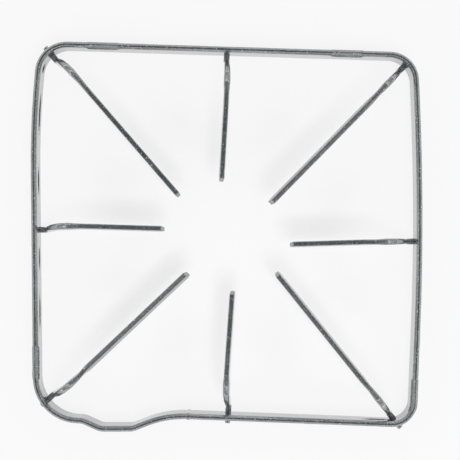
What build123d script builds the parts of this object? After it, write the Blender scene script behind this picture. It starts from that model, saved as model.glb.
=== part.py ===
"""Hob pan support: a square frame of steel strip on edge, with eight raised fingers riveted into it.

Millimetres. The origin is on the hob, under the middle of the footprint. +Z is up, -Y is the front.
"""

import os
from math import atan, cos, degrees, pi, radians, sin, tan

from build123d import *

os.makedirs("parts", exist_ok=True)

# Frame: flat strip on edge
strip_thickness = 3.6
strip_height = 16.0
strip_edge = 1.2

# Bends of the strip: corner of its outside line and radius outside. The square is a little out of true,
# its sides are bowed, and the front rail has a joggle beside the front left corner
bends = {
    "back_left": (-117.9, 119.6, 19.5),
    "back_right": (115.4, 117.0, 18.0),
    "right_bow": (121.9, 18.0, 1700.0),
    "front_right": (119.0, -113.4, 15.5),
    "joggle_end": (-34.0, -110.6, 60.0),
    "joggle_flat_end": (-54.8, -119.1, 9.0),
    "joggle_flat_start": (-75.1, -119.6, 14.0),
    "joggle_start": (-86.4, -114.7, 9.0),
    "front_left": (-116.0, -114.9, 28.0),
    "left_bow": (-121.6, 70.4, 570.0),
}

# Butt weld that closes the strip, in the front rail
weld_x = -21.0
weld_length = 1.5
weld_proud = 0.35

# Pressed flats on the top edge, one beside each corner: middle and length of each
flats = {
    "back_left_flat": (-78.0, 117.0, 19.0),
    "back_right_flat": (72.0, 115.0, 19.0),
    "left_flat": (-117.0, -78.0, 20.0),
    "right_flat": (117.0, -93.5, 19.5),
}
flat_depth = 1.3
flat_spread_in = 0.75
flat_spread_out = 0.3
flat_skirt = 3.0
flat_taper = 6.0

# Fingers: flat bar on edge, drawn rounder and thinner from its elbow down to its root
pan_height = 27.5
bar_width = 3.1
bar_height = 5.5
bar_edge = 0.4
neck_width = 3.0
neck_height = 4.2
neck_edge = 0.9
leg_slope = 72.0
knee_reach = 6.0
knee_radius = 5.0
knee_steps = 2
elbow_radius = 19.5
elbow_swell = 0.75
elbow_drop = 0.45
elbow_steps = 4
twist_length = 8.0
nose_length = 2.2
nose_drop = 1.9
nose_narrowing = 0.9

# Root of a finger: collar inside the strip, tenon through it, peened head outside
tenon_height = 5.5
tenon_radius = 1.5
tenon_clearance = 0.03
collar_radius = 1.9
collar_length = 4.6
head_radius = 1.7
seat_bite = 0.6

# Each finger: bearing of its root seen from the middle, offset of its tenon to the left of the line
# inwards, sway of the run to the left of the tenon, roll of the run, distance of its tip, and how far
# its head stands out
fingers = {
    "finger_back_left": (132.0, -7.1, 2.9, 0.0, 38.1, 3.2),
    "finger_back": (87.8, -6.2, 1.35, -7.0, 34.7, 0.8),
    "finger_back_right": (46.7, 3.7, 0.1, -14.0, 34.2, 0.8),
    "finger_right": (2.9, 4.9, -0.6, 8.0, 38.5, 0.8),
    "finger_front_right": (-50.0, -11.0, -0.15, -12.0, 34.6, 3.4),
    "finger_front": (-92.9, -8.9, 2.6, -8.0, 30.6, 2.9),
    "finger_front_left": (-135.5, 3.5, -2.55, -18.0, 30.5, 2.4),
    "finger_left": (179.4, 2.4, 2.8, -8.0, 37.2, 0.8),
}

up = Vector(0, 0, 1)


# Frame strip, before its holes
with BuildSketch() as outline:
    with BuildLine():
        FilletPolyline(
            *[(x, y) for x, y, radius in bends.values()],
            radius=[radius for x, y, radius in bends.values()],
            close=True,
        )
    make_face()

with BuildPart() as strip:
    with BuildSketch():
        add(outline.sketch)
        offset(outline.sketch, amount=-strip_thickness, mode=Mode.SUBTRACT)
    extrude(amount=strip_height)
    rims = strip.faces().sort_by(Axis.Z)
    chamfer(rims[0].edges() + rims[-1].edges(), strip_edge)


def strip_seat(start, direction):
    """Inside and outside points of the strip where a level line out from start meets it."""
    hits = strip.part.find_intersection_points(Axis(start, direction))
    points = sorted((hit[0] for hit in hits), key=lambda point: (point - start).dot(direction))
    ahead = [point for point in points if (point - start).dot(direction) > 0]
    return ahead[0], ahead[1]


def across_strip(start, direction):
    """Plane across the strip: origin on its outside face, X outwards, Y up, Z along the strip."""
    outside = strip_seat(start + up * strip_height / 2, direction)[1]
    return Plane(Vector(outside.X, outside.Y), x_dir=direction, z_dir=direction.cross(up))


weld = across_strip(Vector(weld_x, 0), Vector(0, -1))


class Root:
    """Where a finger's tenon goes through the strip."""

    def __init__(self, bearing, offset_left):
        self.outward = Vector(cos(radians(bearing)), sin(radians(bearing)))
        self.foot = up.cross(-self.outward) * offset_left + up * tenon_height
        self.inside, self.outside = strip_seat(self.foot, self.outward)
        self.wall = (self.outside - self.inside).length
        self.reach = (self.inside - self.foot).length
        self.axis = Axis(self.inside, -self.outward)

    def plane(self, turn=0.0):
        """Upright plane along the tenon, X inwards and Y up, turned about the tenon to its right."""
        right = self.axis.direction.cross(up).rotate(self.axis, turn)
        return Plane(self.inside, x_dir=self.axis.direction, z_dir=right)


roots = {name: Root(bearing, offset_left) for name, (bearing, offset_left, *_) in fingers.items()}


def flat_areas(outward, inward):
    """Plan of the strip at the four flats, with its sides this far beyond the plain strip's."""
    with BuildSketch() as areas:
        for x, y, length in flats.values():
            with Locations((x, y)):
                Rectangle(length, length)
        offset(outline.sketch, amount=outward, mode=Mode.INTERSECT)
        offset(outline.sketch, amount=-strip_thickness - inward, mode=Mode.SUBTRACT)
    return areas.sketch


pressed = Plane.XY.offset(strip_height - flat_depth)
spread = pressed * flat_areas(flat_spread_out, flat_spread_in)
pressed_low = pressed * flat_areas(-strip_thickness, flat_spread_in * 2)
pressed_high = Plane.XY.offset(strip_height) * flat_areas(-strip_thickness / 2, flat_spread_in * 2)

# Frame: the strip with its pressed flats, its weld and the tenon holes
with BuildPart() as frame:
    add(strip.part)
    extrude(spread, amount=-flat_skirt, taper=flat_taper)
    for low, high in zip(pressed_low.faces().sort_by(Axis.X), pressed_high.faces().sort_by(Axis.X)):
        loft([low, high], mode=Mode.SUBTRACT)
    with BuildSketch(weld.offset(-weld_length / 2)) as bead:
        with Locations((-strip_thickness / 2, strip_height / 2 + weld_proud / 2)):
            Rectangle(strip_thickness + 2 * weld_proud, strip_height + weld_proud)
        chamfer(bead.vertices(), strip_edge)
    extrude(amount=weld_length)
    for root in roots.values():
        with BuildSketch(Plane(root.inside, x_dir=up, z_dir=root.outward)):
            Circle(tenon_radius + tenon_clearance)
        extrude(amount=root.wall + seat_bite, both=True, mode=Mode.SUBTRACT)
frame.part.label = "frame"
export_step(frame.part, "parts/frame.step")


def top_of_bar(roll):
    """Height of the rolled bar's highest point above its middle."""
    flat_half_width = bar_width / 2 - bar_edge
    return bar_height / 2 * cos(radians(roll)) + flat_half_width * abs(sin(radians(roll)))


def bar_section(plane, along, rise, slope=0.0, width=bar_width, height=bar_height, edge=bar_edge):
    """Section of the bar, square to its own line, at a place in the finger's upright plane."""
    middle = plane.from_local_coords((along, rise, 0))
    forward = plane.x_dir * cos(radians(slope)) + plane.y_dir * sin(radians(slope))
    with BuildSketch(Plane(middle, x_dir=plane.z_dir, z_dir=forward)) as section:
        Rectangle(width, height)
        chamfer(section.vertices(), edge)
    return section.sketch


def on_bend(radius, slope):
    """Point of a bend's line where it has reached this slope, from its level end."""
    return radius * sin(radians(slope)), radius * (1 - cos(radians(slope)))


def make_finger(root, sway, roll, tip, proud):
    """One finger: head, tenon and collar, leg, elbow, the twist after it, the level run and its nose."""
    level = pan_height - tenon_height - top_of_bar(roll)
    lean = -degrees(atan(sway / level))
    rise = level / cos(radians(lean))
    upright = root.plane(lean)
    crest = rise - elbow_drop
    leg_reach = crest / tan(radians(leg_slope)) + elbow_radius * tan(radians(leg_slope / 2))
    knee_start = knee_reach - knee_radius * tan(radians(leg_slope / 2))
    elbow_end = knee_reach + leg_reach
    twist_end = upright.from_local_coords((elbow_end + twist_length, rise, 0))
    run_length = root.reach - tip - elbow_end - twist_length - nose_length
    run = Plane(twist_end, x_dir=upright.x_dir, z_dir=root.plane(roll).z_dir)

    sections = []
    neck = (neck_width, neck_height, neck_edge)
    for step in range(knee_steps + 1):
        slope = leg_slope * step / knee_steps
        along, climb = on_bend(knee_radius, slope)
        sections.append(bar_section(upright, knee_start + along, climb, slope, *neck))
    for step in range(elbow_steps + 1):
        slope = leg_slope * (1 - step / elbow_steps)
        along, climb = on_bend(elbow_radius, slope)
        width = bar_width + elbow_swell * sin(pi * (step / elbow_steps) ** 2)
        sections.append(bar_section(upright, elbow_end - along, crest - climb, slope, width))
    sections.append(bar_section(run, 0, 0))
    sections.append(bar_section(run, run_length, 0))
    nose_width = bar_width - nose_narrowing
    nose_height = bar_height - nose_drop
    sections.append(
        bar_section(run, run_length + nose_length, -nose_drop / 2, 0, nose_width, nose_height)
    )

    with BuildPart() as finger:
        with BuildSketch(root.plane()):
            with BuildLine():
                Polyline(
                    (-root.wall - proud, 0),
                    (-root.wall - proud, head_radius),
                    (-seat_bite, head_radius),
                    (-seat_bite, collar_radius),
                    (collar_length, collar_radius),
                    (collar_length, 0),
                    close=True,
                )
            make_face()
        revolve(axis=root.axis)
        for section, next_section in zip(sections, sections[1:]):
            loft([section, next_section])
        add(strip.part, mode=Mode.SUBTRACT)
        with BuildSketch(root.plane()):
            with Locations((collar_length / 2, 0)):
                Rectangle(
                    collar_length / 2 + root.wall + proud / 3,
                    tenon_radius,
                    align=(Align.MAX, Align.MIN),
                )
        revolve(axis=root.axis)
    return finger.part


for name, (bearing, offset_left, *shape) in fingers.items():
    piece = make_finger(roots[name], *shape)
    piece.label = name
    export_step(piece, f"parts/{name}.step")
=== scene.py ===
"""Hob pan support in dark grey glass enamel, seen from straight above on a white table."""

from functools import reduce
from math import radians

import bmesh
import bpy
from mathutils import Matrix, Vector


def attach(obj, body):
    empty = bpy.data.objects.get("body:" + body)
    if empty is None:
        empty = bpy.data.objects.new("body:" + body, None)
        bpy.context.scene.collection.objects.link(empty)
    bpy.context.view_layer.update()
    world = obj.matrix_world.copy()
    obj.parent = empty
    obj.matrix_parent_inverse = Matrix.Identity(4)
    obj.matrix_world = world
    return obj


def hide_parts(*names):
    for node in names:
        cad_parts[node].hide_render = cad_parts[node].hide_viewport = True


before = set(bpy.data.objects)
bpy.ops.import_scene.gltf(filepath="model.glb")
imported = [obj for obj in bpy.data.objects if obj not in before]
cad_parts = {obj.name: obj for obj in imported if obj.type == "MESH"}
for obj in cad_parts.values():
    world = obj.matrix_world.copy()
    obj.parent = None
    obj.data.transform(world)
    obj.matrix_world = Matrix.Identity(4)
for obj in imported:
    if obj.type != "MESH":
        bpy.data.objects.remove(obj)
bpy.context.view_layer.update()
scene = bpy.context.scene
mm = 0.001

# Frame: one length of mild steel strip on edge, bent round its corners and butt welded in the front rail.
# The whole support is dipped in dark grey glass enamel and fired, which rounds every edge a little
# and leaves the faint ripple and the fine pale specks of a vitreous coat; the specks are also bright
# enough to serve as painted glints.
frame_grain = 0.42 * mm
frame_keep = 0.28
merge_gap = 0.001 * mm
soften_steps = 3
ripple_height = 0.05 * mm
ripple_size = 2.6 * mm
noise_mean = 0.5

enamel_dark = (0.036, 0.047, 0.049, 1.0)
enamel_mid = (0.066, 0.083, 0.086, 1.0)
mottle_size = 6.0 * mm
mottle_band = (0.35, 0.65)
# Pale specks in the enamel, bright enough to serve also as painted glints on the tops.
speck_and_glint_colour = (0.68, 0.70, 0.71, 1.0)
speck_and_glint_size = 0.7 * mm
speck_and_glint_band = (0.635, 0.71)
peel_size = 1.1 * mm
peel_depth = 0.035 * mm
frit_size = 0.4 * mm
frit_depth = 0.012 * mm
enamel_roughness = (0.10, 0.26)
enamel_mirror = 0.5
enamel_ior = 2.7
skin_roughness = 0.07
skin_ior = 1.55

# Painted reflections: dark, dull streaks painted on the inside of the strip, about halfway up, in place of
# dark things it mirrors there: middle and half size, in millimetres.
painted_reflection_streaks = [
    ((-115.6, 103.8, 8.0), (2.4, 4.0, 3.0)),
    ((-117.3, 76.0, 8.0), (2.8, 15.0, 3.0)),
    ((-116.8, 33.5, 8.0), (2.4, 10.0, 2.6)),
    ((-115.6, -14.0, 8.0), (2.4, 9.0, 2.4)),
    ((-114.4, -47.0, 8.0), (2.4, 13.5, 2.4)),
    ((95.0, -109.4, 10.0), (10.0, 2.4, 2.6)),
]
# Painted reflection: the dark colour of these streaks, with their roughness and their weak mirror.
painted_reflection_colour = (0.020, 0.021, 0.021, 1.0)
streak_roughness = 0.7
streak_mirror = 0.05

# Rough skin on the pressed flats, in the same form.
scuffs = [
    ((-78.0, 115.5, 15.0), (13.0, 4.0, 4.0)),
    ((72.0, 113.5, 15.0), (13.0, 4.0, 4.0)),
    ((-115.5, -78.0, 15.0), (4.0, 13.0, 4.0)),
    ((115.5, -93.5, 15.0), (4.0, 13.0, 4.0)),
]
scuff_roughness = 0.4
scuff_wear = 0.6

# Ragged edge of a streak or scuff: the grain of its noise, and the distances, in half sizes with the noise
# added, at which the patch ends and is full.
patch_grain = 1.6 * mm
patch_end = 1.55
patch_full = 1.1


def feed(node, inputs):
    """Link a node's inputs to other sockets, or give them plain values."""
    for key, value in inputs.items():
        if isinstance(value, bpy.types.NodeSocket):
            node.id_data.links.new(value, node.inputs[key])
        else:
            node.inputs[key].default_value = value


def new_node(tree, kind, inputs=None, **settings):
    """Node of this kind, with its properties set and its inputs fed."""
    node = tree.nodes.new(kind)
    for name, value in settings.items():
        setattr(node, name, value)
    feed(node, inputs or {})
    return node


def arithmetic(tree, operation, one, other, **settings):
    """Output of a sum, product or the like of two numbers."""
    inputs = {0: one, 1: other}
    return new_node(tree, "ShaderNodeMath", inputs, operation=operation, **settings).outputs[0]


def vector_arithmetic(tree, operation, inputs):
    """Outputs of a step of vector arithmetic."""
    return new_node(tree, "ShaderNodeVectorMath", inputs, operation=operation).outputs


def enamel_material():
    """Fired glass enamel: a mottled dark grey ground with pale specks that are partly painted glints, and
    dark streaks that are painted reflections, under a clear glossy skin.
    """
    material = bpy.data.materials.new("dark_grey_enamel")
    material.use_nodes = True
    tree = material.node_tree
    place = new_node(tree, "ShaderNodeTexCoord").outputs["Object"]

    def noise(size, detail):
        """Random pattern with grains of this size."""
        inputs = {"Vector": place, "Scale": 1 / size, "Detail": detail}
        return new_node(tree, "ShaderNodeTexNoise", inputs).outputs["Fac"]

    def ramp(value, band, colours):
        """Colour that turns from the first to the second across a band of the value."""
        made = new_node(tree, "ShaderNodeValToRGB", {"Fac": value})
        for stop, position, colour in zip(made.color_ramp.elements, band, colours):
            stop.position = position
            stop.color = colour
        return made.outputs["Color"]

    def painted(ground, share, paint):
        """Ground colour with a share of paint over it."""
        inputs = {"Factor": share, "A": ground, "B": paint}
        return new_node(tree, "ShaderNodeMix", inputs, data_type="RGBA").outputs["Result"]

    def between(value, start, end):
        """Number that goes from start to end as the value goes from 0 to 1."""
        inputs = {"Value": value, "To Min": start, "To Max": end}
        return new_node(tree, "ShaderNodeMapRange", inputs).outputs["Result"]

    def larger(one, other):
        """The larger of two numbers."""
        return arithmetic(tree, "MAXIMUM", one, other)

    def bump(size, depth, inputs):
        """Normal of a surface with grains of this size and depth."""
        height = {"Height": noise(size, 2), "Distance": depth}
        return new_node(tree, "ShaderNodeBump", height | inputs).outputs["Normal"]

    ragged = noise(patch_grain, 3)

    def patch(middle, half):
        """1 inside a patch, falling to 0 at its ragged edge."""
        middle = [part * mm for part in middle]
        half = [part * mm for part in half]
        away = vector_arithmetic(tree, "SUBTRACT", {0: place, 1: middle})[0]
        sized = vector_arithmetic(tree, "DIVIDE", {0: away, 1: half})[0]
        far = vector_arithmetic(tree, "LENGTH", {0: sized})["Value"]
        inputs = {
            "Value": arithmetic(tree, "ADD", far, ragged),
            "From Min": patch_end,
            "From Max": patch_full,
        }
        return new_node(tree, "ShaderNodeMapRange", inputs).outputs["Result"]

    def patches(listed):
        """1 inside any of the listed patches."""
        return reduce(larger, [patch(middle, half) for middle, half in listed])

    black = (0.0, 0.0, 0.0, 1.0)
    white = (1.0, 1.0, 1.0, 1.0)
    ground = ramp(noise(mottle_size, 3), mottle_band, (enamel_dark, enamel_mid))
    # Pale specks, which are partly painted glints.
    specks_and_glints = ramp(noise(speck_and_glint_size, 2), speck_and_glint_band, (black, white))
    # Painted reflections: dark, dull streaks on the strip's inner wall.
    reflection_streaked = patches(painted_reflection_streaks)
    scuffed = patches(scuffs)
    bare = larger(reflection_streaked, between(scuffed, 0.0, scuff_wear))
    dull = larger(between(reflection_streaked, 0.0, streak_roughness), between(scuffed, 0.0, scuff_roughness))
    grainy = bump(frit_size, frit_depth, {})
    uneven = bump(peel_size, peel_depth, {"Normal": grainy})
    coating = {
        "Base Color": painted(painted(ground, specks_and_glints, speck_and_glint_colour), reflection_streaked, painted_reflection_colour),
        "Roughness": larger(between(noise(mottle_size, 2), *enamel_roughness), dull),
        "IOR": enamel_ior,
        "Specular IOR Level": between(reflection_streaked, enamel_mirror, streak_mirror),
        "Normal": uneven,
        "Coat Weight": between(bare, 1.0, 0.0),
        "Coat Roughness": skin_roughness,
        "Coat IOR": skin_ior,
        "Coat Normal": uneven,
    }
    feed(tree.nodes["Principled BSDF"], coating)
    return material


enamel = enamel_material()


def new_tree(name, sizes):
    """Geometry Nodes tree with named inputs for its sizes and its material, and the sockets of these."""
    tree = bpy.data.node_groups.new(name, "GeometryNodeTree")
    sockets = {"Geometry": "Geometry"} | sizes | {"Finish": "Material"}
    for socket, kind in sockets.items():
        tree.interface.new_socket(socket, in_out="INPUT", socket_type="NodeSocket" + kind)
    tree.interface.new_socket("Geometry", in_out="OUTPUT", socket_type="NodeSocketGeometry")
    return tree, new_node(tree, "NodeGroupInput").outputs


def end_tree(tree, geometry, finish):
    """End a tree in real geometry with its material on."""
    whole = new_node(tree, "GeometryNodeRealizeInstances", {0: geometry}).outputs[0]
    inputs = {"Geometry": whole, "Material": finish}
    finished = new_node(tree, "GeometryNodeSetMaterial", inputs).outputs[0]
    new_node(tree, "NodeGroupOutput", {0: finished})


def ripple_tree():
    """Geometry Nodes tree that gives a surface the low ripple of enamel that has run before it set."""
    tree, given = new_tree("enamel_ripple", {"Ripple height": "Float", "Ripple size": "Float"})
    place = new_node(tree, "GeometryNodeInputPosition").outputs[0]
    facing = new_node(tree, "GeometryNodeInputNormal").outputs[0]
    scale = arithmetic(tree, "DIVIDE", 1.0, given["Ripple size"])
    noise = new_node(tree, "ShaderNodeTexNoise", {"Vector": place, "Scale": scale}).outputs["Fac"]
    centred = arithmetic(tree, "SUBTRACT", noise, noise_mean)
    height = arithmetic(tree, "MULTIPLY", centred, given["Ripple height"])
    push = vector_arithmetic(tree, "SCALE", {0: facing, "Scale": height})[0]
    inputs = {"Geometry": given["Geometry"], "Offset": push}
    moved = new_node(tree, "GeometryNodeSetPosition", inputs).outputs[0]
    end_tree(tree, moved, given["Finish"])
    return tree


ripple = ripple_tree()


def set_inputs(modifier, **values):
    """Set a Geometry Nodes modifier's named inputs, by their identifiers."""
    for item in modifier.node_group.interface.items_tree:
        key = item.name.lower().replace(" ", "_")
        if item.in_out == "INPUT" and key in values:
            modifier[item.identifier] = values[key]


def settle(piece):
    """Turn a piece and its modifiers into one plain mesh, shaded smooth."""
    evaluated = piece.evaluated_get(bpy.context.evaluated_depsgraph_get())
    mesh = bpy.data.meshes.new_from_object(evaluated)
    piece.modifiers.clear()
    piece.data = mesh
    mesh.shade_smooth()


def coat(node, grain, keep, shade=None):
    """Copy of a CAD node with the rounded edges and ripple of its enamel, standing for that node."""
    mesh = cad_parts[node].data.copy()
    steel = bmesh.new()
    steel.from_mesh(mesh)
    bmesh.ops.remove_doubles(steel, verts=steel.verts, dist=merge_gap)
    steel.to_mesh(mesh)
    steel.free()
    piece = bpy.data.objects.new(node + "_enamelled", mesh)
    scene.collection.objects.link(piece)
    skin = piece.modifiers.new("skin", "REMESH")
    skin.mode = "VOXEL"
    skin.voxel_size = grain
    soft = piece.modifiers.new("soft edges", "SMOOTH")
    soft.iterations = soften_steps
    run = piece.modifiers.new("ripple", "NODES")
    run.node_group = ripple
    set_inputs(run, ripple_height=ripple_height, ripple_size=ripple_size, finish=enamel)
    thin = piece.modifiers.new("thin", "DECIMATE")
    thin.ratio = keep
    if shade:
        shade(piece)
    settle(piece)
    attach(piece, "root")
    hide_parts(node)


coat("frame", frame_grain, frame_keep)

# Fingers: flat steel bars, each bent up from its tenon and over to the level that carries the pan.
# Their tenons go through the strip and are peened outside, and they wear the same enamel as the frame.
# Beyond the elbow's reach from the middle, their shading is blended into one round sweep.
finger_grain = 0.20 * mm
finger_keep = 0.20
elbow_reach = 80 * mm
elbow_fade = 8 * mm
elbow_blend = 14


def square_distance(tree, place):
    """The larger of a place's distances from the middle along X and Y."""
    away = vector_arithmetic(tree, "ABSOLUTE", {0: place})[0]
    split = new_node(tree, "ShaderNodeSeparateXYZ", {0: away}).outputs
    return arithmetic(tree, "MAXIMUM", split["X"], split["Y"])


def elbow_tree():
    """Geometry Nodes tree that shades the bend of a finger as one round sweep, from a distance out."""
    sizes = {"Reach": "Float", "Fade": "Float", "Blend steps": "Int"}
    tree, given = new_tree("round_elbow", sizes)
    place = new_node(tree, "GeometryNodeInputPosition").outputs[0]
    facing = new_node(tree, "GeometryNodeInputNormal").outputs[0]
    beyond = arithmetic(tree, "SUBTRACT", square_distance(tree, place), given["Reach"])
    share = arithmetic(tree, "DIVIDE", beyond, given["Fade"], use_clamp=True)
    inputs = {"Value": facing, "Iterations": given["Blend steps"]}
    blurred = new_node(tree, "GeometryNodeBlurAttribute", inputs, data_type="FLOAT_VECTOR").outputs[0]
    inputs = {"Factor": share, "A": facing, "B": blurred}
    mixed = new_node(tree, "ShaderNodeMix", inputs, data_type="VECTOR").outputs["Result"]
    unit = vector_arithmetic(tree, "NORMALIZE", {0: mixed})[0]
    shaded = new_node(tree, "GeometryNodeSetMeshNormal", mode="FREE", domain="POINT")
    feed(shaded, {"Mesh": given["Geometry"], "Custom Normal": unit})
    end_tree(tree, shaded.outputs[0], given["Finish"])
    return tree


elbow = elbow_tree()


def round_elbow(piece):
    """Shade a finger's elbow round."""
    bend = piece.modifiers.new("elbow", "NODES")
    bend.node_group = elbow
    set_inputs(bend, reach=elbow_reach, fade=elbow_fade, blend_steps=elbow_blend, finish=enamel)


for name in sorted(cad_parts):
    if name.startswith("finger_"):
        coat(name, finger_grain, finger_keep, round_elbow)

# Table: a plain white sheet of matt paper, laid just under the support.
# What looks at it, or mirrors it, sees a sheet that is partly white by itself, most so under the frame,
# so only the fingers leave a shadow, and a faint one.
table_size = 6.0
table_drop = 0.02 * mm
table_colour = (0.93, 0.93, 0.93, 1.0)
table_roughness = 0.9
table_white = 0.95
own_white_inside = 0.35
own_white_outside = 0.9
fade_start = 60 * mm
fade_end = 108 * mm


def sheet_material():
    """White paper: matt, and for eyes and mirrors partly white whatever the light."""
    material = bpy.data.materials.new("white_sheet")
    material.use_nodes = True
    tree = material.node_tree
    paper = tree.nodes["Principled BSDF"]
    feed(paper, {"Base Color": table_colour, "Roughness": table_roughness, "Specular IOR Level": 0.0})
    white = new_node(tree, "ShaderNodeEmission", {"Strength": table_white})
    path = new_node(tree, "ShaderNodeLightPath").outputs
    mirrored = arithmetic(tree, "ADD", path["Is Glossy Ray"], path["Is Transmission Ray"])
    seen = arithmetic(tree, "ADD", path["Is Camera Ray"], mirrored, use_clamp=True)
    place = new_node(tree, "ShaderNodeTexCoord").outputs["Object"]
    own_white = new_node(tree, "ShaderNodeMapRange", interpolation_type="SMOOTHSTEP")
    fade = {
        "Value": square_distance(tree, place),
        "From Min": fade_start,
        "From Max": fade_end,
        "To Min": own_white_inside,
        "To Max": own_white_outside,
    }
    feed(own_white, fade)
    share = arithmetic(tree, "MULTIPLY", seen, own_white.outputs["Result"])
    both = new_node(tree, "ShaderNodeMixShader", {0: share, 1: paper.outputs[0], 2: white.outputs[0]})
    feed(tree.nodes["Material Output"], {"Surface": both.outputs[0]})
    return material


bpy.ops.mesh.primitive_plane_add(size=table_size)
table = bpy.context.object
table.name = "table"
table.location.z = -table_drop
table.data.materials.append(sheet_material())

# Light: a soft square lamp, high at the front and a little to the right, in a white room.
# The room is bright low down and in a ring of soft lights, and dim between them and on the ceiling.
# The enamel mirrors the room and not the lamp. Each level of the room stands by the sine of its height.
lamp_place = Vector((0.18, -0.44, 1.15))
lamp_size = 0.62
lamp_power = 7.4
room_levels = [
    (0.0, 1.6),
    (0.18, 1.6),
    (0.26, 0.42),
    (0.38, 0.42),
    (0.48, 1.5),
    (0.6, 1.5),
    (0.70, 0.40),
    (0.86, 0.36),
    (0.97, 0.10),
    (1.0, 0.10),
]

soft_light = bpy.data.lights.new("front_lamp", "AREA")
soft_light.shape = "SQUARE"
soft_light.size = lamp_size
soft_light.energy = lamp_power
lamp = bpy.data.objects.new("front_lamp", soft_light)
lamp.location = lamp_place
lamp.rotation_euler = (-lamp_place).to_track_quat("-Z", "Y").to_euler()
lamp.visible_glossy = False
scene.collection.objects.link(lamp)


def room_light():
    """The room by height, and as white as the table to the camera."""
    world = bpy.data.worlds.new("room")
    world.use_nodes = True
    tree = world.node_tree
    place = new_node(tree, "ShaderNodeTexCoord").outputs["Generated"]
    split = new_node(tree, "ShaderNodeSeparateXYZ", {0: place}).outputs
    height = new_node(tree, "ShaderNodeValToRGB", {"Fac": split["Z"]})
    stops = height.color_ramp.elements
    while len(stops) < len(room_levels):
        stops.new(1.0)
    for stop, (position, level) in zip(stops, room_levels):
        stop.position = position
        stop.color = (level, level, level, 1.0)
    inputs = {
        "Factor": new_node(tree, "ShaderNodeLightPath").outputs["Is Camera Ray"],
        "A": height.outputs["Color"],
        "B": (table_white, table_white, table_white, 1.0),
    }
    seen = new_node(tree, "ShaderNodeMix", inputs, data_type="RGBA").outputs["Result"]
    feed(tree.nodes["Background"], {"Color": seen})
    return world


scene.world = room_light()

# Camera: straight above, a little off the middle and turned with the photograph's frame.
# Its place and lens are fitted to how much of the strip's inner walls shows.
camera_place = (2.33 * mm, 5.80 * mm, 644 * mm)
camera_turn = 1.15
camera_lens = 80.3
camera_sensor = 36.0
camera_near = 10 * mm

lens = bpy.data.cameras.new("camera")
lens.lens = camera_lens
lens.sensor_width = camera_sensor
lens.clip_start = camera_near
camera = bpy.data.objects.new("camera", lens)
camera.location = camera_place
camera.rotation_euler = (0.0, 0.0, radians(camera_turn))
scene.collection.objects.link(camera)
scene.camera = camera
scene.view_settings.view_transform = "Standard"
